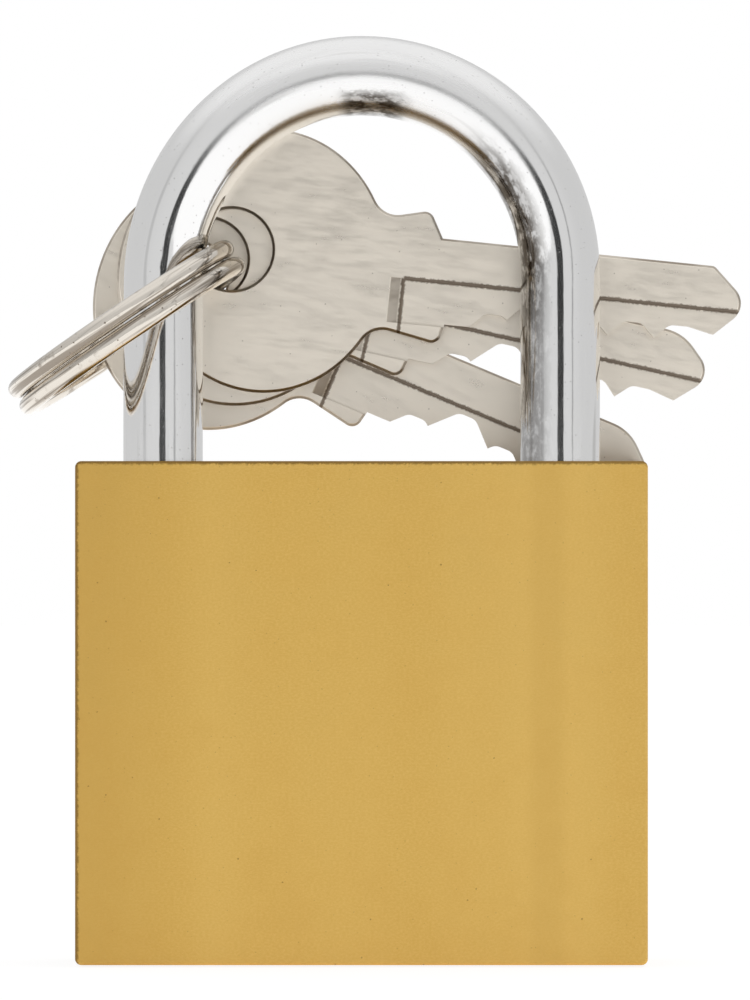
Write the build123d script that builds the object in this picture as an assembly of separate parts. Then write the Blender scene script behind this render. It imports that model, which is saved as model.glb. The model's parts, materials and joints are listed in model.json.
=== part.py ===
from build123d import *
from math import cos, pi, radians, sin, sqrt
import os

# Brass padlock with a steel shackle, a split ring and three keys. Millimetres.
# X is the width, Y runs from the front face to the back, Z is up.
# The origin is the centre of the body's bottom face.

# ---- fits ----
RUN = 0.06            # radial gap of a sliding or turning fit
SEAT = 0.02           # radial gap of a plug or pin that is pressed in
AIR = 0.15            # plain working clearance
OVER = 2.0            # how far a cutting tool overshoots a face

# ---- body ----
BODY_W = 50.0
BODY_T = 15.0
BODY_H = 44.0
BODY_CORNER_R = 0.55
BODY_EDGE = 0.2
MOUTH = 0.3           # chamfer at the mouth of each shackle bore

# ---- shackle ----
WIRE_R = 3.5
LEG_PITCH = 35.0
INSIDE_H = 30.5       # clear height from the body to the crown
TOE_DEPTH = 11.4      # how far the toe sits in the body
HEEL_DEPTH = 30.0
LIFT = 12.0
LEG_END = 0.7
HEEL_BEND_H = 18.6    # the bend on the heel side is a little longer than a quarter circle

# ---- heel stop and shackle spring ----
STOP_R = 1.0
STOP_Z = 28.0
STOP_BITE = 1.7       # how deep the stop pin reaches into the heel leg
HEEL_FLOOR = 4.0
SHACKLE_SPRING_R = 2.6
SHACKLE_SPRING_WIRE = 0.35
SHACKLE_SPRING_TURNS = 9

# ---- latches and cam ----
LATCH_R = 3.2
LATCH_DROP = 4.8      # latch axis below the body's top
LATCH_TIP_R = 1.2
LATCH_BITE = 1.2      # how deep a nose sits in its notch
LATCH_STROKE = 4.0    # draw for a quarter turn of the key
LATCH_HEAD = 3.7      # length of the full round head
CAM_LOW = 1.6
CAM_T = 1.5
CAM_UNDERLAP = 0.5    # how far the cam starts below the tabs it pushes
CAM_EDGE_POINTS = 7
TAB_T = 1.4
TAB_DROP = 1.2
TAB_INNER_Y = 1.9
ARM_INNER_Y = 0.1
LATCH_SPRING_R = 0.75
LATCH_SPRING_WIRE = 0.12
LATCH_SPRING_TURNS = 8
LATCH_SPRING_OFFSET = 1.25
LATCH_SPRING_BORE = 1.9

# ---- cylinder plug and pins ----
PLUG_R = 6.2
PLUG_RECESS = 0.15
KEYWAY_SPARE = 1.0    # how much deeper the keyway is than the blade is long
GROOVE_DEPTH = 1.2
TENON_X = 1.6
TENON_Y = 4.0
KEEPER_R = 1.0        # the pin that keeps the plug in the body
KEEPER_Z = 25.7
PIN_R = 1.25
PIN_TIP = 0.5
DRIVER_LEN = 4.6
PIN_SPRING_R = 0.95
PIN_SPRING_WIRE = 0.16
PIN_SPRING_TURNS = 9
CHAMBER_PLUG_LEN = 5.0

# ---- key, with X along the blade and the bow's centre at zero ----
KEY_T = 1.9
BOW_LONG = 10.8
BOW_TALL = 11.7
KEY_HOLE_R = 3.6
KEY_HOLE_X = -3.1
KEY_HOLE_Z = 0.7
NECK_START_X = 8.0
NECK_START_Z = 4.4
NECK_END_X = 14.1
NECK_END_Z = 5.9
NECK_SKEW = 1.8       # the cut side's neck corner stands this much further out
NECK_R = 0.9
NECK_HOLLOW_R = 2.2
BLADE_TOP = 3.55
BLADE_BOTTOM = -4.0
SHOULDER_X = 15.4
SHOULDER_SKEW = 0.9   # and its shoulder this much
TIP_X = 43.1          # where the two tip slopes would meet without their rounding
TIP_Z = 0.35
TIP_R = 1.8
TIP_TOP_X = 39.6
TIP_CORNER_X = 40.1
TIP_CORNER_Z = -2.5
REBATE_TOP = -0.3
REBATE_BOTTOM = -4.3
REBATE_START = 12.3
REBATE_RAMP = 1.2
REBATE_DEPTH = 0.7
CUT_FLAT = 1.6
CUT_PITCH = 4.1
FIRST_CUT = 5.2       # from the shoulder to the middle of the first cut
CUT_LEVELS = (-2.7, -0.9, -2.3, -2.1, -2.0)
CUT_R = 1.0           # rounding of each cut's two corners
KEY_EDGE = 0.25
KEY_GAP = 0.1         # least gap between two keys
# the hole's centre to the right of the heel leg and above the body, and the
# key's droop in degrees, front key first
KEY_HANG = ((6.0, 18.8, 5.8), (3.75, 18.0, 12.6), (1.9, 16.25, 22.7))

# each key's shortening and the rounding of its tip's upper corner, front key first
KEY_TIPS = ((0, 0.6), (0, 4.0), (1.1, 4.0))

# ---- split ring ----
RING_R = 11.0
RING_WIRE_R = 0.83
RING_COIL_GAP = 0.1
RING_LEFT = 3.2       # ring centre to the left of the heel leg
RING_UP = 11.8        # ring centre above the body
RING_BACK = 0.5       # ring centre behind the heel leg's axis
RING_SLOPE = 34.0
RING_TILT = 0.5
RING_JOG = 40.0       # degrees over which one turn crosses to the other
RING_JOG_AT = 84.0

# ---- sizes that follow ----
LEG_X = LEG_PITCH / 2
CROWN_Z = BODY_H + INSIDE_H - (LEG_X - WIRE_R)
HEEL_BEND_Z = CROWN_Z + LEG_X - HEEL_BEND_H
TOE_Z = BODY_H - TOE_DEPTH
HEEL_Z = BODY_H - HEEL_DEPTH
LATCH_Z = BODY_H - LATCH_DROP
LATCH_TIP_X = LEG_X - WIRE_R + LATCH_BITE
LATCH_HEAD_X = LATCH_TIP_X - LATCH_HEAD
CAM_RISE = LATCH_STROKE / (pi / 2)
TAB_X = CAM_LOW + AIR
ARM_END_X = TAB_X + TAB_T
PLUG_TOP = LATCH_Z - TAB_DROP - CAM_UNDERLAP
CAM_TOP = PLUG_TOP + CAM_T
PIN_BORE_R = PIN_R + RUN
KEY_BACK_X = -BLADE_TOP - AIR
CUT_ZS = [PLUG_RECESS + FIRST_CUT + CUT_PITCH * i for i in range(len(CUT_LEVELS))]
KEY_PIN_END = sqrt((PLUG_R - AIR) ** 2 - PIN_R ** 2)
DRIVER_START = PLUG_R + AIR
DRIVER_END = DRIVER_START + DRIVER_LEN
CHAMBER_END = BODY_W / 2 - CHAMBER_PLUG_LEN
# the front key lies behind the shackle and the last one behind the body
FRONT_KEY_Y = WIRE_R + AIR + KEY_T / 2
KEY_PITCH = max(KEY_T + KEY_GAP, (BODY_T / 2 - WIRE_R) / (len(KEY_HANG) - 1))


# ---- small helpers ----
def block(x0, x1, y0, y1, z0, z1):
    middle = Pos((x0 + x1) / 2, (y0 + y1) / 2, (z0 + z1) / 2)
    return middle * Box(x1 - x0, y1 - y0, z1 - z0)


def rod_z(radius, z0, z1, x=0.0, y=0.0):
    return Pos(x, y, (z0 + z1) / 2) * Cylinder(radius, z1 - z0)


def rod_x(radius, x0, x1, y=0.0, z=0.0):
    return Pos((x0 + x1) / 2, y, z) * Rot(0, 90, 0) * Cylinder(radius, x1 - x0)


def coil(radius, wire_r, turns, length):
    """An open helical spring along Z, from z = 0 to z = length."""
    rise = length - 2 * wire_r
    path = Helix(rise / turns, rise, radius)
    wire = Plane(origin=path @ 0, z_dir=path % 0) * Circle(wire_r)
    return Pos(0, 0, wire_r) * sweep(wire, path=path, is_frenet=True)


def coil_x(radius, wire_r, turns, x0, x1, y, z):
    return Pos(x0, y, z) * Rot(0, 90, 0) * coil(radius, wire_r, turns, x1 - x0)


# ---- body ----
def make_body():
    body = block(-BODY_W / 2, BODY_W / 2, -BODY_T / 2, BODY_T / 2, 0, BODY_H)
    body = fillet(body.edges().filter_by(Axis.Y), BODY_CORNER_R)
    sides = body.faces().sort_by(Axis.Y)
    body = chamfer(sides[0].edges() + sides[-1].edges(), BODY_EDGE)
    bore_r = WIRE_R + RUN
    for x, floor in ((-LEG_X, HEEL_FLOOR), (LEG_X, TOE_Z - MOUTH)):
        body -= rod_z(bore_r, floor, BODY_H + OVER, x)
        body -= Pos(x, 0, BODY_H - MOUTH / 2) * Cone(bore_r, bore_r + MOUTH, MOUTH)
    body -= rod_z(PLUG_R + RUN, -OVER, CAM_TOP + AIR)
    body -= rod_x(LATCH_R + RUN, -LEG_X, BODY_W / 2 + OVER, 0, LATCH_Z)
    for z in CUT_ZS:
        body -= rod_x(PIN_BORE_R, PLUG_R / 2, BODY_W / 2 + OVER, 0, z)
    body -= rod_x(KEEPER_R, PLUG_R / 2, BODY_W / 2 + OVER, 0, KEEPER_Z)
    body -= rod_x(STOP_R, -BODY_W / 2 - OVER, -LEG_X, 0, STOP_Z)
    return body


def make_chamber_plug(z):
    return rod_x(PIN_BORE_R - SEAT, CHAMBER_END, BODY_W / 2, 0, z)


def make_latch_bore_plug():
    start = LEG_X + WIRE_R + RUN + AIR
    return rod_x(LATCH_R + RUN - SEAT, start, BODY_W / 2, 0, LATCH_Z)


def make_keeper():
    tip = PLUG_R - GROOVE_DEPTH + AIR
    return rod_x(KEEPER_R - SEAT, tip, BODY_W / 2, 0, KEEPER_Z)


def make_heel_stop():
    tip = -LEG_X - WIRE_R + STOP_BITE
    return rod_x(STOP_R - SEAT, -BODY_W / 2, tip, 0, STOP_Z)


# ---- shackle ----
def latch_notch():
    """The notch in the toe leg: a square lower lip and a sloping roof that clears the nose."""
    outside = LEG_X - WIRE_R - AIR
    inside = LATCH_TIP_X + AIR
    lip_z = LATCH_Z - LATCH_TIP_R - LIFT * LATCH_BITE / LATCH_STROKE - AIR
    roof_z = LATCH_Z + LATCH_TIP_R + LATCH_TIP_X + AIR
    profile = Polygon(
        (outside, lip_z),
        (inside, lip_z),
        (inside, roof_z - inside),
        (outside, roof_z - outside),
        align=None,
    )
    return extrude(Plane.XZ * profile, amount=WIRE_R + OVER, both=True)


def make_heel_bend():
    """A quarter of an ellipse from the heel leg up to the top of the crown."""
    bend = EllipticalCenterArc((0, 0), LEG_X, HEEL_BEND_H, start_angle=90, arc_size=90)
    path = Pos(0, 0, HEEL_BEND_Z) * (Plane.XZ * bend)
    top = Plane(origin=path @ 0, z_dir=path % 0) * Circle(WIRE_R)
    return sweep(top, path=path)


def make_shackle():
    heel = rod_z(WIRE_R, HEEL_Z, HEEL_BEND_Z, -LEG_X)
    toe = rod_z(WIRE_R, TOE_Z, CROWN_Z, LEG_X)
    heel = chamfer(heel.edges().sort_by(Axis.Z)[0], LEG_END)
    toe = chamfer(toe.edges().sort_by(Axis.Z)[0], LEG_END)
    section = Pos(LEG_X, 0, CROWN_Z) * Circle(WIRE_R)
    toe_bend = revolve(section, axis=Axis((0, 0, CROWN_Z), (0, -1, 0)), revolution_arc=90)
    shackle = heel + make_heel_bend() + toe_bend + toe
    notch = latch_notch()
    shackle -= notch
    shackle -= Rot(0, 0, 180) * notch
    core_r = WIRE_R - STOP_BITE - AIR
    slot_half = STOP_R + AIR
    slot_floor = STOP_Z - LIFT - slot_half
    slot_roof = STOP_Z + slot_half
    outside = -LEG_X - WIRE_R - OVER
    shackle -= block(outside, -LEG_X - core_r, -slot_half, slot_half, slot_floor, slot_roof)
    groove_roof = slot_floor + 2 * slot_half
    groove = rod_z(WIRE_R + OVER, slot_floor, groove_roof, -LEG_X)
    groove -= rod_z(core_r, slot_floor - OVER, groove_roof + OVER, -LEG_X)
    return shackle - groove


def make_shackle_spring():
    length = HEEL_Z - HEEL_FLOOR
    spring = coil(SHACKLE_SPRING_R, SHACKLE_SPRING_WIRE, SHACKLE_SPRING_TURNS, length)
    return Pos(-LEG_X, 0, HEEL_FLOOR) * spring


# ---- latches ----
def make_toe_latch():
    """Round head with a conical nose, and an arm that reaches past the cam to its tab."""
    head = rod_x(LATCH_R, LATCH_HEAD_X, LATCH_TIP_X, 0, LATCH_Z)
    nose = head.edges().filter_by(GeomType.CIRCLE).sort_by(Axis.X)[-1]
    head = chamfer(nose, LATCH_R - LATCH_TIP_R)
    wide = LATCH_R + OVER
    arm = rod_x(LATCH_R, -ARM_END_X, LATCH_HEAD_X + AIR, 0, LATCH_Z)
    arm &= block(-wide, LATCH_TIP_X, ARM_INNER_Y, wide, LATCH_Z, LATCH_Z + wide)
    tab = rod_x(LATCH_R, -ARM_END_X, -TAB_X, 0, LATCH_Z)
    tab &= block(-wide, wide, TAB_INNER_Y, wide, LATCH_Z - TAB_DROP, LATCH_Z + AIR)
    spring_y = -LATCH_SPRING_OFFSET
    spring_z = LATCH_Z + LATCH_SPRING_OFFSET
    bore_r = LATCH_SPRING_R + LATCH_SPRING_WIRE + RUN
    bore_end = LATCH_HEAD_X + LATCH_SPRING_BORE
    return head + arm + tab - rod_x(bore_r, 0, bore_end, spring_y, spring_z)


def make_toe_latch_spring():
    """The spring between the heel latch's arm and the bore in the toe latch."""
    return coil_x(
        LATCH_SPRING_R,
        LATCH_SPRING_WIRE,
        LATCH_SPRING_TURNS,
        ARM_END_X,
        LATCH_HEAD_X + LATCH_SPRING_BORE,
        -LATCH_SPRING_OFFSET,
        LATCH_Z + LATCH_SPRING_OFFSET,
    )


def cam_edge_point(turn):
    """A point of the cam edge that pushes a tab after the cam has turned this far."""
    reach = CAM_LOW + CAM_RISE * turn
    x = -reach * cos(turn) + CAM_RISE * sin(turn)
    y = reach * sin(turn) + CAM_RISE * cos(turn)
    return x, y


def make_cam():
    step = pi / 2 / (CAM_EDGE_POINTS - 1)
    lobe = [cam_edge_point(step * i) for i in range(CAM_EDGE_POINTS)]
    other = [(-x, -y) for x, y in lobe]
    outline = Spline(*lobe) + Line(lobe[-1], other[0])
    outline += Spline(*other) + Line(other[-1], lobe[0])
    cam = Pos(0, 0, PLUG_TOP) * extrude(make_face(outline), amount=CAM_T)
    half_x = TENON_X / 2 + SEAT
    half_y = TENON_Y / 2 + SEAT
    return cam - block(-half_x, half_x, -half_y, half_y, 0, BODY_H)


# ---- cylinder plug and pins ----
def keyway():
    """The slot for the blade: full width at the key's back, narrower on the cut side."""
    half = KEY_T / 2 + AIR / 2
    step_x = KEY_BACK_X + BLADE_TOP - REBATE_TOP + AIR
    end_x = KEY_BACK_X + BLADE_TOP - BLADE_BOTTOM + AIR
    top = PLUG_RECESS + TIP_X - SHOULDER_X + KEYWAY_SPARE
    wide = block(KEY_BACK_X - AIR / 2, step_x, -half, half, -OVER, top)
    narrow = block(step_x - AIR, end_x, REBATE_DEPTH - half, half, -OVER, top)
    return wide + narrow


def make_cylinder_plug():
    plug = rod_z(PLUG_R, PLUG_RECESS, PLUG_TOP)
    plug -= keyway()
    for z in CUT_ZS:
        plug -= rod_x(PIN_BORE_R, -AIR, PLUG_R + OVER, 0, z)
    half_w = KEEPER_R + AIR
    groove = rod_z(PLUG_R + OVER, KEEPER_Z - half_w, KEEPER_Z + half_w)
    groove -= rod_z(PLUG_R - GROOVE_DEPTH, 0, BODY_H)
    plug -= groove
    half_x = TENON_X / 2
    half_y = TENON_Y / 2
    return plug + block(-half_x, half_x, -half_y, half_y, PLUG_TOP - AIR, CAM_TOP)


def make_key_pin(z, level):
    """A key pin held at the height that its cut in the key would give it."""
    tip_x = KEY_BACK_X + BLADE_TOP - level
    pin = rod_x(PIN_R, tip_x, KEY_PIN_END, 0, z)
    return chamfer(pin.edges().sort_by(Axis.X)[0], PIN_TIP)


def make_driver_pin(z):
    return rod_x(PIN_R, DRIVER_START, DRIVER_END, 0, z)


def make_pin_spring(z):
    return coil_x(
        PIN_SPRING_R, PIN_SPRING_WIRE, PIN_SPRING_TURNS, DRIVER_END, CHAMBER_END, 0, z
    )


# ---- key ----
def cut_edge():
    """Points along the cut side of the blade, from the shoulder towards the tip."""
    half = CUT_FLAT / 2
    slope_run = CUT_PITCH - CUT_FLAT
    x = SHOULDER_X + FIRST_CUT
    points = [(x - half - (CUT_LEVELS[0] - BLADE_BOTTOM), BLADE_BOTTOM)]
    for level, after in zip(CUT_LEVELS, CUT_LEVELS[1:]):
        run = (slope_run + level - after) / 2
        points += [(x - half, level), (x + half, level), (x + half + run, level - run)]
        x += CUT_PITCH
    return points + [(x - half, CUT_LEVELS[-1]), (x + half, CUT_LEVELS[-1])]


def key_outline(place):
    short, tip_round = KEY_TIPS[place]
    tip_slope = (TIP_Z - TIP_CORNER_Z) / (TIP_X - TIP_CORNER_X)
    shank = Polygon(
        (NECK_START_X, NECK_START_Z),
        (NECK_START_X, -NECK_START_Z),
        (NECK_END_X + NECK_SKEW, -NECK_END_Z),
        (SHOULDER_X + SHOULDER_SKEW, BLADE_BOTTOM),
        (TIP_CORNER_X - short - (TIP_CORNER_Z - BLADE_BOTTOM) / tip_slope, BLADE_BOTTOM),
        (TIP_X - short, TIP_Z),
        (TIP_TOP_X - short, BLADE_TOP),
        (SHOULDER_X, BLADE_TOP),
        (NECK_END_X, NECK_END_Z),
        align=None,
    )
    corners = shank.vertices().sort_by(Axis.Y)
    shank = fillet([corners[0], corners[-1]], NECK_R)
    shank = fillet(shank.vertices().sort_by(Axis.X)[-1], TIP_R)
    tip_top = shank.vertices().sort_by_distance((TIP_TOP_X - short, BLADE_TOP, 0))[0]
    shank = fillet(tip_top, tip_round)
    outline = Ellipse(BOW_LONG, BOW_TALL) + shank
    meetings = outline.vertices().filter_by_position(Axis.X, NECK_START_X, NECK_END_X - NECK_R)
    hollows = [v for v in meetings if abs(v.Y) < NECK_END_Z]
    outline = fillet(hollows, NECK_HOLLOW_R)
    return outline - Pos(KEY_HOLE_X, KEY_HOLE_Z) * Circle(KEY_HOLE_R)


def blade_cuts(place):
    """What is cut away along the blade's lower edge, after its edges are bevelled."""
    start = SHOULDER_X + SHOULDER_SKEW
    end = TIP_CORNER_X - KEY_TIPS[place][0]
    below = BLADE_BOTTOM - OVER
    outline = Polygon(
        (start, below),
        (start, BLADE_BOTTOM),
        *cut_edge(),
        (end, TIP_CORNER_Z),
        (end, below),
        align=None,
    )
    corners = [v for v in outline.vertices() if round(v.Y, 6) in CUT_LEVELS]
    return extrude(Plane.XZ * fillet(corners, CUT_R), amount=KEY_T, both=True)


def blade_rebate():
    """The milled step on the front of the blade, with a sloping run-in at the neck."""
    front = -KEY_T / 2
    floor = front + REBATE_DEPTH
    profile = Polygon(
        (REBATE_START - REBATE_RAMP, front - OVER),
        (TIP_X + OVER, front - OVER),
        (TIP_X + OVER, floor),
        (REBATE_START, floor),
        (REBATE_START - REBATE_RAMP, front),
        align=None,
    )
    return Pos(0, 0, REBATE_BOTTOM) * extrude(profile, amount=REBATE_TOP - REBATE_BOTTOM)


def make_key(place):
    key = extrude(Plane.XZ * key_outline(place), amount=KEY_T / 2, both=True)
    sides = key.faces().sort_by(Axis.Y)
    key = chamfer(sides[0].edges() + sides[-1].edges(), KEY_EDGE)
    return key - blade_cuts(place) - blade_rebate()


def hang_key(key, place):
    """Puts a key's hole at its place on the ring, one layer behind the key before it."""
    right, up, droop = KEY_HANG[place]
    hole = Pos(right - LEG_X, FRONT_KEY_Y + place * KEY_PITCH, BODY_H + up)
    return hole * Rot(0, droop, 0) * Pos(-KEY_HOLE_X, 0, -KEY_HOLE_Z) * key


# ---- split ring ----
def ring_point(angle, height):
    return Vector(RING_R * cos(radians(angle)), RING_R * sin(radians(angle)), height)


def make_split_ring():
    """Two turns of round wire side by side, joined where one crosses over to the other."""
    height = RING_WIRE_R + RING_COIL_GAP / 2
    jog_start = RING_JOG_AT - RING_JOG / 2
    jog_end = RING_JOG_AT + RING_JOG / 2
    section = Plane.XZ * Pos(RING_R, height) * Circle(RING_WIRE_R)
    turn = Rot(0, 0, jog_end) * revolve(section, axis=Axis.Z, revolution_arc=360 - RING_JOG)
    path = Spline(
        ring_point(jog_start, height),
        ring_point(RING_JOG_AT, 0),
        ring_point(jog_end, -height),
        tangents=(ring_point(jog_start + 90, 0), ring_point(jog_end + 90, 0)),
    )
    wire = Plane(origin=path @ 0, z_dir=path % 0) * Circle(RING_WIRE_R)
    ring = turn + Pos(0, 0, -2 * height) * turn + sweep(wire, path=path)
    centre = Pos(-LEG_X - RING_LEFT, RING_BACK, BODY_H + RING_UP)
    return centre * Rot(0, -RING_SLOPE, 0) * Rot(-RING_TILT, 0, 0) * ring


# ---- the whole lock ----
def make_parts():
    half_turn = Rot(0, 0, 180)
    toe_latch = make_toe_latch()
    toe_latch_spring = make_toe_latch_spring()
    parts = {
        "body": make_body(),
        "shackle": make_shackle(),
        "shackle_spring": make_shackle_spring(),
        "heel_stop_pin": make_heel_stop(),
        "latch_toe": toe_latch,
        "latch_toe_spring": toe_latch_spring,
        "latch_heel": half_turn * toe_latch,
        "latch_heel_spring": half_turn * toe_latch_spring,
        "latch_bore_plug": make_latch_bore_plug(),
        "cylinder_plug": make_cylinder_plug(),
        "cam": make_cam(),
        "plug_retaining_pin": make_keeper(),
        "split_ring": make_split_ring(),
    }
    for number, (z, level) in enumerate(zip(CUT_ZS, CUT_LEVELS), start=1):
        parts[f"key_pin_{number}"] = make_key_pin(z, level)
        parts[f"driver_pin_{number}"] = make_driver_pin(z)
        parts[f"pin_spring_{number}"] = make_pin_spring(z)
        parts[f"chamber_plug_{number}"] = make_chamber_plug(z)
    for place in range(len(KEY_HANG)):
        parts[f"key_{place + 1}"] = hang_key(make_key(place), place)
    return parts


os.makedirs("parts", exist_ok=True)
for node, shape in make_parts().items():
    export_step(shape, f"parts/{node}.step")
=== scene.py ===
import json
import math

import bpy
import numpy as np
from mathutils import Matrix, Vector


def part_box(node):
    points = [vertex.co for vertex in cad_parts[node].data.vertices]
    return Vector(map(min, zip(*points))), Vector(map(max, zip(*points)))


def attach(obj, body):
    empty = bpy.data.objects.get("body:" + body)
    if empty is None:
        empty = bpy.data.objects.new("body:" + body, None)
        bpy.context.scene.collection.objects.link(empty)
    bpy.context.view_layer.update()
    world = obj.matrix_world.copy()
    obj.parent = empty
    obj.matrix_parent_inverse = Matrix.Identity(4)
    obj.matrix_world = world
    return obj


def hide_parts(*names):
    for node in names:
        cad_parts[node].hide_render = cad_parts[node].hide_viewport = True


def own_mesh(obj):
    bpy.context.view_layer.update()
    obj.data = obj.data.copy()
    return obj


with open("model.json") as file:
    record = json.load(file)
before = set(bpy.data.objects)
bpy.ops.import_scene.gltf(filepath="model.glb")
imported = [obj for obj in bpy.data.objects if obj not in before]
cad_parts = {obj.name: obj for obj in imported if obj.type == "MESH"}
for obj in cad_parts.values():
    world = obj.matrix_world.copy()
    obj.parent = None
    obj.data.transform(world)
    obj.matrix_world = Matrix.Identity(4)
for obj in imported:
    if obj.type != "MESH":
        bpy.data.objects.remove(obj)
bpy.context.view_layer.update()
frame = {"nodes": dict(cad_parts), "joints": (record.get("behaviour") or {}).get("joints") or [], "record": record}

# All lengths are in metres and all angles in degrees unless a line says otherwise.

# ---- camera ----
CAMERA_X = 0.00118
CAMERA_DISTANCE = 0.75
CAMERA_Z = 0.0406
VIEW_HEIGHT = 0.08726      # what the camera sees at the lock's front face
SENSOR_LONG_SIDE = 36.0    # in millimetres, as the lens is
CLIP_NEAR = 0.01
CLIP_FAR = 20.0

# ---- studio: how bright the tent is in each direction ----
TENT_SIDES = 0.69
TENT_FRONT = 0.06          # added round the camera
TENT_FRONT_FROM = 0.3      # where it starts, as the cosine of the angle to the front
TENT_TOP = 0.28            # added high above
TENT_TOP_FROM = 0.5        # where it starts and is full, as the sine of the height
TENT_TOP_FULL = 0.85
LENS_HOLE = 8.0            # half angle of the dark opening for the lens
LENS_SOFT = 1.6            # its soft edge
LENS_DARK = 0.06           # what is left of the light inside it
# the tent's seams: azimuth from the front, half width, soft edge, share of light lost
SEAMS = ((35.0, 1.6, 1.0, 0.42), (-54.0, 3.0, 3.0, 0.2))
FLOOR_SIZE = 4.0
FLOOR_GAP = 0.0002         # the floor lies this far under the lock
FLOOR_SHADE = 0.2          # how much of a shadow the floor shows
FLOOR_GLOW = 0.4
FLOOR_GREY = (0.9, 0.9, 0.9, 1)
FLOOR_ROUGHNESS = 0.9
WHITE = (1, 1, 1, 1)

# ---- places on the lock ----
KEY_DROOPS = {"key_1": 5.8, "key_2": 12.6, "key_3": 22.7}
REBATE_TOP = -0.0010       # the blade's milled step, from the middle of the key's hole
REBATE_START = 0.0154
REBATE_SOFT = 0.0001
STEP_LINE = 0.00024        # how wide the painted shade lies along the step, and at its start
START_LINE = 0.00022
RIM_NEAR = 0.00003         # painted shade and dark reflection lie round a key's edges, at these depths from its face
RIM_NEAR_SOFT = 0.00005
RIM_FAR = 0.0005
RIM_FAR_SOFT = 0.0001
RING_SLOPE = 34.0
EDGE_LINE = 0.00034        # how wide the painted shade line is along the body's edges
DARK_BAND_X = 0.0162       # a faint painted dark reflection, as a band up the body's front
DARK_BAND_CORE = 0.0006
DARK_BAND_END = 0.0022
CROWN_CENTRE_Z = 0.0605
CROWN_R = 0.0175
TARNISH_AND_REFLECTION_RAGGED = 0.0024    # how far noise shifts the edge of the shackle's tarnish and painted dark reflection
RIGHT_OUT = (0.0180, 0.0166)       # none and full, by the distance from the crown's middle
RIGHT_ANGLE = (1.0, 0.6)           # none and full, in radians up from the toe leg's side
RIGHT_RISE = (-0.009, 0.002)       # fainter below and full above, from the crown's middle
TOP_OUT = (0.0175, 0.0168)
TOP_ANGLE = (1.25, 1.4, 1.62, 1.74)    # none, full, full and none, in radians
CROWN_DULL = (0.006, 0.0155)       # where the crown begins to dull, and is dullest

# ---- springs that are pressed together along X as the lock works ----
COIL_SIDES = 10
COIL_STEPS = 28            # steps round one turn of a spring
PIN_SPRING = {"wire": 0.00016, "turns": 9, "travel": 0.002}
LATCH_SPRING = {"wire": 0.00012, "turns": 8, "travel": 0.008}
HIGH_END = "high"          # which end of a spring stays where it is on its body
LOW_END = "low"
SPRINGS = [
    (f"pin_spring_{place}", "lock", f"driver_pin_{place}_lift", PIN_SPRING, HIGH_END)
    for place in range(1, 6)
] + [
    ("latch_toe_spring", "toe_latch", "toe_latch_slide", LATCH_SPRING, HIGH_END),
    ("latch_heel_spring", "heel_latch", "heel_latch_slide", LATCH_SPRING, LOW_END),
]

# ---- colours ----
BRASS_LIGHT = (0.725, 0.470, 0.129, 1)
BRASS_DEEP = (0.675, 0.422, 0.104, 1)
BRASS_GLINT = (0.775, 0.525, 0.165, 1)
# the dull brass colour also serves as painted shade at the left side and in the painted dark reflection band
BRASS_DULL_AND_SHADE = (0.565, 0.345, 0.083, 1)
BRASS_PIT = (0.22, 0.11, 0.03, 1)
BRASS_EDGE_SHADE = (0.16, 0.085, 0.02, 1)
FIXED_LIGHT = (0.74, 0.50, 0.15, 1)
FIXED_DEEP = (0.60, 0.38, 0.09, 1)
PLUG_LIGHT = (0.80, 0.60, 0.24, 1)
PLUG_DEEP = (0.66, 0.46, 0.15, 1)
INNER_LIGHT = (0.78, 0.58, 0.26, 1)
INNER_DEEP = (0.60, 0.42, 0.16, 1)
CHROME_LIGHT = (0.85, 0.848, 0.845, 1)
CHROME_WORN = (0.66, 0.655, 0.645, 1)
CHROME_PIT = (0.22, 0.21, 0.2, 1)
# dark tarnish that is partly a painted dark reflection
CHROME_TARNISH_AND_REFLECTION = (0.06, 0.048, 0.036, 1)
NICKEL_LIGHT = (0.87, 0.805, 0.705, 1)
NICKEL_DEEP = (0.84, 0.775, 0.675, 1)
NICKEL_DULL = (0.68, 0.61, 0.52, 1)
# dark for pits and for painted shade on the keys
NICKEL_PIT_AND_SHADE = (0.16, 0.12, 0.085, 1)
RING_LIGHT = (0.74, 0.69, 0.62, 1)
RING_DARK = (0.22, 0.18, 0.14, 1)
PIN_STEEL = (0.62, 0.62, 0.63, 1)
PIN_STEEL_DEEP = (0.434, 0.434, 0.441, 1)
WIRE_STEEL = (0.52, 0.52, 0.54, 1)
WIRE_STEEL_DEEP = (0.364, 0.364, 0.378, 1)

# ---- patterns: how many features there are to a metre ----
BRASS_BANDS = (95, 3, 3)   # across, through and up the body
BRASS_GRAIN = 3600.0
BRASS_GRAIN_FLAT = (1, 1, 1.6)
BRASS_CLOUD = 210.0
BRASS_PITS = 1300.0
BRASS_SPECKS = 2900.0
TURNING_FLAT = (1, 1, 12)
TURNING_FINE = 900.0
TURNING_COARSE = 240.0
GROUND_FLAT = (10, 1, 1)
GROUND_FINE = 1200.0
GROUND_COARSE = 300.0
CHROME_WEAR = 900.0
CHROME_WEAR_LONG = (1, 1, 0.5)
CHROME_FLECKS = 3000.0
CHROME_SCUFFS = 900.0
CHROME_LINES_LONG = (1, 1, 0.06)
CHROME_PITS = 4200.0
KEY_LINES = 2600.0
KEY_SCUFFS = 700.0
KEY_LINES_LONG = (0.2, 1, 1)
KEY_SMEAR = 330.0
KEY_SMEAR_LONG = (0.5, 1, 1)
KEY_PITS = 2300.0
RING_STREAKS = 2100.0
RING_STREAK_TURN = 0.0003  # how far a streak pattern moves on in one radian of the ring
RING_SMUDGES = 520.0
RING_FINE = 4000.0
RING_PITS = 2600.0
SHADE_LINE_BREAKS = 3800.0
PIT_EDGE = 6.0             # how much finer a pit's ragged edge is than the pits' spacing

FLOAT = "NodeSocketFloat"
VECTOR = "NodeSocketVector"


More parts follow.
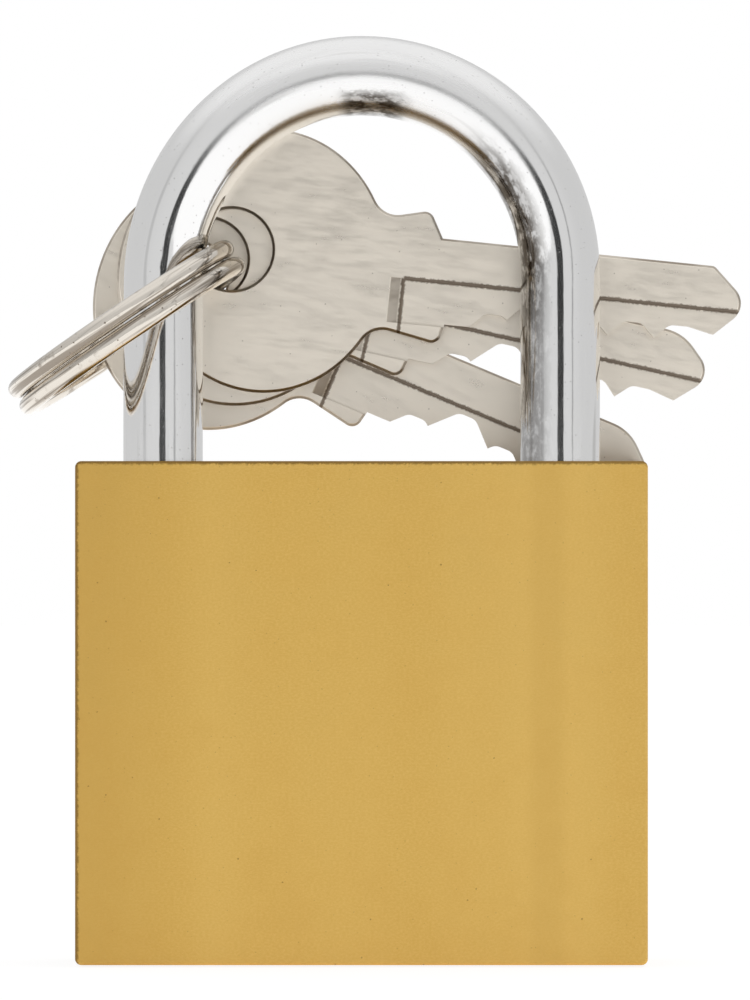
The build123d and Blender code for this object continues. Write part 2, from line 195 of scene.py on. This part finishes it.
# ---------------------------------------------------------------- node helpers
class Tree:
    """Adds nodes to a material, world or group tree in short lines."""

    def __init__(self, tree):
        self.tree = tree

    def add(self, kind, **settings):
        node = self.tree.nodes.new(kind)
        for name, value in settings.items():
            setattr(node, name, value)
        return node

    def link(self, source, target):
        self.tree.links.new(source, target)

    def feed(self, socket, value):
        """Links a socket to another one, or sets its plain value."""
        if isinstance(value, bpy.types.NodeSocket):
            self.link(value, socket)
        else:
            socket.default_value = value

    def math(self, operation, first, second=0.0):
        node = self.add("ShaderNodeMath", operation=operation)
        self.feed(node.inputs[0], first)
        self.feed(node.inputs[1], second)
        return node.outputs[0]

    def times(self, first, second):
        return self.math("MULTIPLY", first, second)

    def most(self, first, second):
        return self.math("MAXIMUM", first, second)

    def away(self, value, mark):
        """How far a value is from a mark, on either side."""
        return self.math("ABSOLUTE", self.math("SUBTRACT", value, mark))

    def distance(self, first, second):
        """The long side of a right angle with these two sides."""
        squares = self.math("ADD", self.times(first, first), self.times(second, second))
        return self.math("SQRT", squares)

    def noise(self, vector, scale, detail=3.0, roughness=0.6):
        node = self.add("ShaderNodeTexNoise")
        self.link(vector, node.inputs["Vector"])
        self.feed(node.inputs["Scale"], scale)
        self.feed(node.inputs["Detail"], detail)
        self.feed(node.inputs["Roughness"], roughness)
        return node.outputs["Fac"]

    def ramp(self, value, low, high, to_low=0.0, to_high=1.0):
        """A smooth step from one range to another."""
        node = self.add("ShaderNodeMapRange", interpolation_type="SMOOTHSTEP")
        for socket, number in zip(node.inputs, (value, low, high, to_low, to_high)):
            self.feed(socket, number)
        return node.outputs[0]

    def mix(self, factor, first, second):
        node = self.add("ShaderNodeMix", data_type="RGBA")
        self.feed(node.inputs["Factor"], factor)
        self.feed(node.inputs["A"], first)
        self.feed(node.inputs["B"], second)
        return node.outputs["Result"]

    def split(self, vector):
        node = self.add("ShaderNodeSeparateXYZ")
        self.link(vector, node.inputs[0])
        return node.outputs

    def join(self, *parts):
        node = self.add("ShaderNodeCombineXYZ")
        for socket, part in zip(node.inputs, parts):
            self.link(part, socket)
        return node.outputs[0]

    def scaled(self, vector, scale):
        node = self.add("ShaderNodeMapping")
        self.link(vector, node.inputs["Vector"])
        node.inputs["Scale"].default_value = scale
        return node.outputs["Vector"]

    def own_frame(self, vector, centre, droop):
        """Coordinates from a piece's own centre, turned with it about Y."""
        node = self.add("ShaderNodeMapping", vector_type="TEXTURE")
        self.link(vector, node.inputs["Vector"])
        node.inputs["Location"].default_value = centre
        node.inputs["Rotation"].default_value = (0, math.radians(droop), 0)
        return node.outputs["Vector"]


def new_group(name, inputs, outputs):
    """A shader node group with named inputs (name, kind, start value) and outputs."""
    group = bpy.data.node_groups.new(name, "ShaderNodeTree")
    for label, kind, start in inputs:
        socket = group.interface.new_socket(label, in_out="INPUT", socket_type=kind)
        if start is not None:
            socket.default_value = start
    for label in outputs:
        group.interface.new_socket(label, in_out="OUTPUT", socket_type=FLOAT)
    tree = Tree(group)
    return group, tree, tree.add("NodeGroupInput").outputs, tree.add("NodeGroupOutput").inputs


def use_group(tree, group, **inputs):
    """Places a group in a material with its own values, and gives the group's outputs."""
    node = tree.add("ShaderNodeGroup", node_tree=group)
    for name, value in inputs.items():
        tree.feed(node.inputs[name], value)
    return node.outputs


# --------------------------------------------------------------- shared effects
def brushed_group():
    """Fine parallel scratches: noise stretched along one axis, in two widths."""
    group, tree, given, result = new_group(
        "brushed_lines",
        [("Vector", VECTOR, None), ("Fine", FLOAT, 1.0), ("Coarse", FLOAT, 1.0)],
        ["Lines", "Scuffs"],
    )
    fine = tree.noise(given["Vector"], given["Fine"])
    coarse = tree.noise(given["Vector"], given["Coarse"], detail=2.0, roughness=0.5)
    both = tree.math("ADD", tree.times(fine, 0.6), tree.times(coarse, 0.4))
    tree.link(both, result["Lines"])
    tree.link(tree.ramp(coarse, 0.62, 0.78), result["Scuffs"])
    return group


def speckle_group():
    """Sparse small pits: the ragged middles of small cells, some cells kept and some not."""
    group, tree, given, result = new_group(
        "speckle",
        [
            ("Vector", VECTOR, None),
            ("Scale", FLOAT, 1.0),
            ("Size", FLOAT, 0.1),
            ("Spread", FLOAT, 0.5),
        ],
        ["Pits"],
    )
    cells = tree.add("ShaderNodeTexVoronoi")
    tree.link(given["Vector"], cells.inputs["Vector"])
    tree.link(given["Scale"], cells.inputs["Scale"])
    ragged = tree.noise(
        given["Vector"], tree.times(given["Scale"], PIT_EDGE), detail=2.0, roughness=0.5
    )
    edge = tree.times(given["Size"], tree.times(ragged, 2.0))
    dots = tree.math("LESS_THAN", cells.outputs["Distance"], edge)
    pick = tree.add("ShaderNodeSeparateColor")
    tree.link(cells.outputs["Color"], pick.inputs[0])
    kept = tree.math("LESS_THAN", pick.outputs["Red"], given["Spread"])
    tree.link(tree.times(dots, kept), result["Pits"])
    return group


def shade_line_group():
    """A speckled line of painted shade: dark where a distance is near nought, broken up by noise."""
    group, tree, given, result = new_group(
        "painted_shade_line",
        [("Vector", VECTOR, None), ("Distance", FLOAT, 0.0), ("Width", FLOAT, 0.0002)],
        ["Dirt"],
    )
    away = tree.math("ABSOLUTE", given["Distance"])
    broken = tree.noise(given["Vector"], SHADE_LINE_BREAKS, roughness=0.7)
    reach = tree.times(given["Width"], tree.times(broken, 2.2))
    tree.link(tree.ramp(tree.math("DIVIDE", away, reach), 1.0, 0.4), result["Dirt"])
    return group


# -------------------------------------------------------------------- materials
def new_metal(name):
    """A metal material, its tree, its shader and the piece's own coordinates."""
    material = bpy.data.materials.new(name)
    material.use_nodes = True
    tree = Tree(material.node_tree)
    shader = material.node_tree.nodes["Principled BSDF"]
    shader.inputs["Metallic"].default_value = 1.0
    place = tree.add("ShaderNodeTexCoord").outputs["Object"]
    return material, tree, shader, place


def finish(tree, shader, colour, roughness, height, strength, depth):
    """Links what varies over the surface: colour, roughness and a bump of this depth."""
    tree.link(colour, shader.inputs["Base Color"])
    tree.link(roughness, shader.inputs["Roughness"])
    bump = tree.add("ShaderNodeBump")
    bump.inputs["Strength"].default_value = strength
    bump.inputs["Distance"].default_value = depth
    tree.link(height, bump.inputs["Height"])
    tree.link(bump.outputs["Normal"], shader.inputs["Normal"])


def satin_brass(groups):
    """Ground and lacquered brass: soft grain with painted glints, faint upright bands that are partly
    painted reflection, a painted dark reflection band, painted shade towards the left side, small
    dark pits and a thin line of painted shade along the left and top edges."""
    material, tree, shader, place = new_metal("satin_brass")
    low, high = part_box("body")
    split = tree.split(place)
    bands = tree.noise(tree.scaled(place, BRASS_BANDS), 1.0, detail=1.0, roughness=0.4)
    grain = tree.noise(tree.scaled(place, BRASS_GRAIN_FLAT), BRASS_GRAIN, roughness=0.8)
    cloud = tree.noise(place, BRASS_CLOUD, detail=4.0, roughness=0.65)
    pits = use_group(
        tree, groups["speckle"], Vector=place, Scale=BRASS_PITS, Size=0.10, Spread=0.05
    )["Pits"]
    specks = use_group(
        tree, groups["speckle"], Vector=place, Scale=BRASS_SPECKS, Size=0.16, Spread=0.06
    )["Pits"]
    # upright bands of tone: partly the drawn brass, partly painted reflection
    colour = tree.mix(tree.ramp(bands, 0.3, 0.7), BRASS_DEEP, BRASS_LIGHT)
    # lighter grain flecks: painted glints
    colour = tree.mix(tree.ramp(grain, 0.35, 0.7, 0.0, 0.65), colour, BRASS_GLINT)
    colour = tree.mix(tree.ramp(cloud, 0.42, 0.72, 0.0, 0.1), colour, BRASS_DULL_AND_SHADE)
    # painted dark reflection: a faint darker band up the body's front
    from_band = tree.away(split["X"], DARK_BAND_X)
    band = tree.ramp(from_band, DARK_BAND_CORE, DARK_BAND_END, 0.22, 0.0)
    colour = tree.mix(band, colour, BRASS_DULL_AND_SHADE)
    # painted shade: the body darkens towards its left side
    painted_left_shade = tree.ramp(split["X"], low.x, low.x * 0.5, 0.6, 0.0)
    colour = tree.mix(painted_left_shade, colour, BRASS_DULL_AND_SHADE)
    # painted shade: a thin dark line along the left and top edges
    for axis, edge in (("X", low.x), ("Z", high.z)):
        distance = tree.math("SUBTRACT", split[axis], edge)
        line = use_group(tree, groups["line"], Vector=place, Distance=distance, Width=EDGE_LINE)
        colour = tree.mix(tree.times(line["Dirt"], 0.75), colour, BRASS_EDGE_SHADE)
    spots = tree.most(pits, tree.times(specks, 0.5))
    colour = tree.mix(tree.times(spots, 0.55), colour, BRASS_PIT)
    roughness = tree.ramp(cloud, 0.3, 0.7, 0.38, 0.48)
    finish(tree, shader, colour, roughness, tree.math("SUBTRACT", grain, pits), 0.3, 0.00004)
    return material


def turned_brass(groups, name, light, deep):
    """Machined brass with fine turning lines."""
    material, tree, shader, place = new_metal(name)
    lines = use_group(
        tree,
        groups["brushed"],
        Vector=tree.scaled(place, TURNING_FLAT),
        Fine=TURNING_FINE,
        Coarse=TURNING_COARSE,
    )["Lines"]
    roughness = tree.ramp(lines, 0.3, 0.7, 0.22, 0.38)
    finish(tree, shader, tree.mix(lines, deep, light), roughness, lines, 0.15, 0.00003)
    return material


def wire_places(tree, place):
    """Coordinates that follow the shackle's wire, from its legs round its crown.

    Gives the distance outwards from the crown's middle or from between the legs, the
    angle round the crown in radians, the height above the crown's middle, and the place
    as outwards, through and along the wire.
    """
    split = tree.split(place)
    rise = tree.math("SUBTRACT", split["Z"], CROWN_CENTRE_Z)
    bend = tree.most(rise, 0.0)
    out = tree.distance(split["X"], bend)
    angle = tree.math("ARCTAN2", bend, split["X"])
    along = tree.math("ADD", tree.times(angle, CROWN_R), tree.math("MINIMUM", rise, 0.0))
    return out, angle, rise, tree.join(out, split["Y"], along)


def crown_tarnish_and_reflection(tree, out, angle, rise, wear):
    """Where the wire's inside is dark with tarnish and painted dark reflection: down the right hand bend, and a
    spot at the top.
    """
    ragged = tree.math("ADD", out, tree.times(wear, TARNISH_AND_REFLECTION_RAGGED))
    right = tree.times(tree.ramp(ragged, *RIGHT_OUT), tree.ramp(angle, *RIGHT_ANGLE))
    right = tree.times(right, tree.ramp(rise, *RIGHT_RISE, 0.62, 1.0))
    start, full, still_full, end = TOP_ANGLE
    top = tree.times(tree.ramp(angle, start, full), tree.ramp(angle, end, still_full))
    top = tree.times(top, tree.ramp(ragged, *TOP_OUT))
    return tree.times(tree.most(right, top), tree.ramp(wear, 0.36, 0.56, 0.4, 0.95))


def chrome(groups):
    """Polished chrome on a hardened steel shackle: rubbed duller over the crown, with
    flecks along the wire and dark tarnish with painted dark reflection on part of its inside."""
    material, tree, shader, place = new_metal("polished_chrome")
    out, angle, rise, wire = wire_places(tree, place)
    wear = tree.noise(tree.scaled(wire, CHROME_WEAR_LONG), CHROME_WEAR, detail=4.0, roughness=0.7)
    brushed = use_group(
        tree,
        groups["brushed"],
        Vector=tree.scaled(wire, CHROME_LINES_LONG),
        Fine=CHROME_FLECKS,
        Coarse=CHROME_SCUFFS,
    )
    pits = use_group(
        tree, groups["speckle"], Vector=place, Scale=CHROME_PITS, Size=0.22, Spread=0.08
    )["Pits"]
    colour = tree.mix(brushed["Scuffs"], CHROME_LIGHT, CHROME_WORN)
    colour = tree.mix(tree.times(pits, 0.5), colour, CHROME_PIT)
    # tarnish with painted dark reflection on the inside of the crown
    colour = tree.mix(crown_tarnish_and_reflection(tree, out, angle, rise, wear), colour, CHROME_TARNISH_AND_REFLECTION)
    dull = tree.ramp(rise, *CROWN_DULL, 0.055, 0.24)
    streak = tree.ramp(brushed["Lines"], 0.3, 0.7, 0.0, 0.05)
    height = tree.math("SUBTRACT", brushed["Lines"], pits)
    finish(tree, shader, colour, tree.math("ADD", dull, streak), height, 0.3, 0.00002)
    return material


def hole_centre(node):
    """Where the middle of a key's hole is at rest: the key swings on the ring about it."""
    joint = next(joint for joint in frame["joints"] if joint["name"] == node + "_fan")
    return joint["pos_m"]


def key_shade(groups, tree, node, own, smear):
    """Painted shade on one key: in the corners of the blade's milled step, and painted shade and dark reflection
    round its edges.
    """
    split = tree.split(own)
    step = tree.math("SUBTRACT", split["Z"], REBATE_TOP)
    step_line = use_group(tree, groups["line"], Vector=own, Distance=step, Width=STEP_LINE)
    start = tree.math("SUBTRACT", split["X"], REBATE_START)
    start_line = use_group(tree, groups["line"], Vector=own, Distance=start, Width=START_LINE)
    on_blade = tree.ramp(split["X"], REBATE_START - REBATE_SOFT, REBATE_START + REBATE_SOFT)
    below_step = tree.ramp(split["Z"], REBATE_TOP + REBATE_SOFT, REBATE_TOP - REBATE_SOFT)
    corners = tree.most(
        tree.times(step_line["Dirt"], on_blade), tree.times(start_line["Dirt"], below_step)
    )
    low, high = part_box(node)
    face = (high.y - low.y) / 2
    from_middle = tree.math("ABSOLUTE", split["Y"])
    rim = tree.times(
        tree.ramp(from_middle, face - RIM_NEAR, face - RIM_NEAR - RIM_NEAR_SOFT),
        tree.ramp(from_middle, face - RIM_FAR - RIM_FAR_SOFT, face - RIM_FAR),
    )
    rim = tree.times(rim, tree.ramp(smear, 0.35, 0.6, 0.45, 0.85))
    return tree.most(corners, rim)


def nickel_key(groups, node, droop):
    """Satin nickel on stamped brass for one key: warm grey with faint brushing along the
    blade, small pits, and painted shade in the step's corners and round the edges."""
    material, tree, shader, place = new_metal("satin_nickel_" + node)
    own = tree.own_frame(place, hole_centre(node), droop)
    lines = use_group(
        tree,
        groups["brushed"],
        Vector=tree.scaled(own, KEY_LINES_LONG),
        Fine=KEY_LINES,
        Coarse=KEY_SCUFFS,
    )["Lines"]
    smear = tree.noise(tree.scaled(own, KEY_SMEAR_LONG), KEY_SMEAR)
    pits = use_group(
        tree, groups["speckle"], Vector=own, Scale=KEY_PITS, Size=0.14, Spread=0.07
    )["Pits"]
    colour = tree.mix(lines, NICKEL_DEEP, NICKEL_LIGHT)
    colour = tree.mix(tree.ramp(smear, 0.5, 0.75, 0.0, 0.1), colour, NICKEL_DULL)
    shade_and_pits = tree.most(key_shade(groups, tree, node, own, smear), tree.times(pits, 0.5))
    # pits, with painted shade in the step's corners and painted shade and dark reflection round the edges
    colour = tree.mix(tree.times(shade_and_pits, 0.9), colour, NICKEL_PIT_AND_SHADE)
    roughness = tree.ramp(lines, 0.3, 0.7, 0.27, 0.38)
    finish(tree, shader, colour, roughness, lines, 0.12, 0.00002)
    return material


def nickel_ring(groups):
    """Polished nickel wire with dull smudges and streaks of painted dark reflection that run round the ring."""
    material, tree, shader, place = new_metal("polished_nickel")
    low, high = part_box("split_ring")
    split = tree.split(tree.own_frame(place, (low + high) / 2, -RING_SLOPE))
    out = tree.distance(split["X"], split["Y"])
    angle = tree.math("ARCTAN2", split["Y"], split["X"])
    wire = tree.join(out, tree.times(angle, RING_STREAK_TURN), split["Z"])
    streak = tree.noise(wire, RING_STREAKS)
    smudge = tree.noise(place, RING_SMUDGES)
    fine = tree.noise(place, RING_FINE, detail=2.0)
    pits = use_group(
        tree, groups["speckle"], Vector=place, Scale=RING_PITS, Size=0.2, Spread=0.12
    )["Pits"]
    dark = tree.most(tree.ramp(smudge, 0.56, 0.7, 0.0, 0.6), pits)
    # streaks of painted dark reflection running round the wire
    dark = tree.most(dark, tree.ramp(streak, 0.5, 0.62, 0.0, 0.8))
    roughness = tree.ramp(smudge, 0.4, 0.7, 0.08, 0.24)
    finish(tree, shader, tree.mix(dark, RING_LIGHT, RING_DARK), roughness, fine, 0.1, 0.00002)
    return material


def ground_steel(groups, name, light, deep, smooth, coarse):
    """Ground or drawn steel with lines round the wire or pin."""
    material, tree, shader, place = new_metal(name)
    lines = use_group(
        tree,
        groups["brushed"],
        Vector=tree.scaled(place, GROUND_FLAT),
        Fine=GROUND_FINE,
        Coarse=GROUND_COARSE,
    )["Lines"]
    roughness = tree.ramp(lines, 0.3, 0.7, smooth, coarse)
    finish(tree, shader, tree.mix(lines, deep, light), roughness, lines, 0.15, 0.00002)
    return material


def make_materials():
    """Every finish, by the name of its material slot, or of its node for a key."""
    groups = {"brushed": brushed_group(), "speckle": speckle_group(), "line": shade_line_group()}
    finishes = {
        "body_brass": satin_brass(groups),
        "fixed_brass": turned_brass(groups, "plug_end_brass", FIXED_LIGHT, FIXED_DEEP),
        "plug_brass": turned_brass(groups, "cylinder_brass", PLUG_LIGHT, PLUG_DEEP),
        "inner_brass": turned_brass(groups, "inner_brass", INNER_LIGHT, INNER_DEEP),
        "shackle_chrome": chrome(groups),
        "steel_pin": ground_steel(
            groups, "ground_steel", PIN_STEEL, PIN_STEEL_DEEP, 0.2, 0.325
        ),
        "spring_steel": ground_steel(
            groups, "drawn_steel", WIRE_STEEL, WIRE_STEEL_DEEP, 0.24, 0.39
        ),
        "ring_nickel": nickel_ring(groups),
    }
    for node, droop in KEY_DROOPS.items():
        finishes[node] = nickel_key(groups, node, droop)
    return finishes


def paint_nodes(finishes):
    """Gives each CAD node its own finish, or the one that its material slot names."""
    for part in frame["record"]["subparts"]:
        mesh = frame["nodes"][part["node"]].data
        mesh.materials.clear()
        mesh.materials.append(finishes.get(part["node"]) or finishes[part["material_slot"]])


# ---------------------------------------------------------------------- springs
def coil_surface(low, high, wire, turns):
    """Points of an open coil along X that fills the box from low to high.

    The wire's middle goes round the box's long axis at a steady rise:
    x = x0 + rise * t, y = y0 + r cos t, z = z0 + r sin t. Round it, the surface lies one
    wire radius away, along the outward direction turned about the wire's own direction.
    """
    radius = (high.z - low.z) / 2 - wire
    steps = np.linspace(0, 2 * np.pi * turns, COIL_STEPS * turns + 1)[:, None, None]
    round_wire = np.arange(COIL_SIDES)[None, :, None] * 2 * np.pi / COIL_SIDES
    rise = (high.x - low.x - 2 * wire) / (2 * np.pi * turns)
    zero = np.zeros_like(steps)
    outward = np.concatenate([zero, np.cos(steps), np.sin(steps)], 2)
    tangent = np.concatenate(
        [zero + rise, -radius * np.sin(steps), radius * np.cos(steps)], 2
    ) / math.hypot(rise, radius)
    beside = np.cross(tangent, outward)
    middle = np.array([low.x + wire, (low.y + high.y) / 2, (low.z + high.z) / 2])
    middle = middle + radius * outward + np.concatenate([rise * steps, zero, zero], 2)
    return middle + wire * (np.cos(round_wire) * outward + np.sin(round_wire) * beside)


def tube_mesh(name, points):
    """A smooth tube through rings of points, with a flat cap at each end."""
    rings, sides = points.shape[:2]
    starts = np.arange(rings - 1)[:, None] * sides
    here = (starts + np.arange(sides)).ravel()
    beside = (starts + (np.arange(sides) + 1) % sides).ravel()
    faces = np.stack([here, beside, beside + sides, here + sides], 1).tolist()
    last = (rings - 1) * sides
    caps = [list(range(sides))[::-1], list(range(last, last + sides))]
    mesh = bpy.data.meshes.new(name)
    mesh.from_pydata(points.reshape(-1, 3).tolist(), [], faces + caps)
    smooth = np.arange(len(faces + caps)) < len(faces)
    mesh.polygons.foreach_set("use_smooth", smooth)
    return mesh


def make_spring(node, body, joint, kind, fixed_end, material):
    """Puts a coil in place of a CAD spring, on the spring's body."""
    low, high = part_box(node)
    mesh = tube_mesh(node + "_coil", coil_surface(low, high, kind["wire"], kind["turns"]))
    mesh.materials.append(material)
    piece = bpy.data.objects.new(node + "_coil", mesh)
    bpy.context.scene.collection.objects.link(piece)
    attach(piece, body)
    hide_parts(node)
    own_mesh(piece)


# ----------------------------------------------------------------------- studio
def mix_shaders(tree, share, first, second):
    """The first shader, with this share of the second."""
    node = tree.add("ShaderNodeMixShader")
    tree.link(share, node.inputs["Fac"])
    tree.link(first, node.inputs[1])
    tree.link(second, node.inputs[2])
    return node.outputs[0]


def floor_material():
    """White with a faint shadow from above, and clear from below."""
    material = bpy.data.materials.new("white_floor")
    material.use_nodes = True
    tree = Tree(material.node_tree)
    shader = material.node_tree.nodes["Principled BSDF"]
    shader.inputs["Base Color"].default_value = FLOOR_GREY
    shader.inputs["Roughness"].default_value = FLOOR_ROUGHNESS
    shader.inputs["Specular IOR Level"].default_value = 0.0
    shader.inputs["Emission Color"].default_value = WHITE
    shader.inputs["Emission Strength"].default_value = FLOOR_GLOW
    white = tree.add("ShaderNodeEmission").outputs[0]
    clear = tree.add("ShaderNodeBsdfTransparent").outputs[0]
    seen = tree.add("ShaderNodeLightPath").outputs["Is Camera Ray"]
    from_below = tree.add("ShaderNodeNewGeometry").outputs["Backfacing"]
    lit = mix_shaders(tree, tree.times(seen, 1 - FLOOR_SHADE), shader.outputs[0], white)
    surface = mix_shaders(tree, from_below, lit, clear)
    tree.link(surface, material.node_tree.nodes["Material Output"].inputs["Surface"])
    return material


def make_floor():
    """A wide white floor just under the lock."""
    bpy.ops.mesh.primitive_plane_add(size=FLOOR_SIZE, location=(0, 0, -FLOOR_GAP))
    floor = bpy.context.object
    floor.name = "floor"
    floor.data.materials.append(floor_material())


def make_world():
    """A white tent: brighter above, with seams and a dark lens opening at the front."""
    world = bpy.data.worlds.new("tent")
    bpy.context.scene.world = world
    world.use_nodes = True
    tree = Tree(world.node_tree)
    split = tree.split(tree.add("ShaderNodeTexCoord").outputs["Generated"])
    toward = tree.times(split["Y"], -1.0)
    front = tree.ramp(toward, TENT_FRONT_FROM, 1.0, 0.0, TENT_FRONT)
    top = tree.ramp(split["Z"], TENT_TOP_FROM, TENT_TOP_FULL, 0.0, TENT_TOP)
    tent = tree.math("ADD", tree.math("ADD", front, TENT_SIDES), top)
    azimuth = tree.math("ARCTAN2", split["X"], toward)
    for middle, half, soft, lost in SEAMS:
        away = tree.away(azimuth, math.radians(middle))
        seam = tree.ramp(away, math.radians(half), math.radians(half + soft), 1 - lost, 1.0)
        tent = tree.times(tent, seam)
    inside = math.cos(math.radians(LENS_HOLE))
    outside = math.cos(math.radians(LENS_HOLE + LENS_SOFT))
    light = tree.times(tent, tree.ramp(toward, outside, inside, 1.0, LENS_DARK))
    seen = tree.add("ShaderNodeLightPath").outputs["Is Camera Ray"]
    background = world.node_tree.nodes["Background"]
    background.inputs["Color"].default_value = WHITE
    tree.link(tree.most(light, seen), background.inputs["Strength"])


def make_camera():
    """A long lens, level with the lock's middle and square to its front."""
    data = bpy.data.cameras.new("camera")
    camera = bpy.data.objects.new("camera", data)
    bpy.context.scene.collection.objects.link(camera)
    camera.location = (CAMERA_X, -CAMERA_DISTANCE, CAMERA_Z)
    camera.rotation_euler = (math.radians(90), 0, 0)
    front_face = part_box("body")[0].y
    data.sensor_width = SENSOR_LONG_SIDE
    data.lens = SENSOR_LONG_SIDE * (CAMERA_DISTANCE + front_face) / VIEW_HEIGHT
    data.clip_start = CLIP_NEAR
    data.clip_end = CLIP_FAR
    bpy.context.scene.camera = camera


finishes = make_materials()
paint_nodes(finishes)
for spring in SPRINGS:
    make_spring(*spring, finishes["spring_steel"])
make_floor()
make_world()
make_camera()
bpy.context.scene.view_settings.view_transform = "Standard"
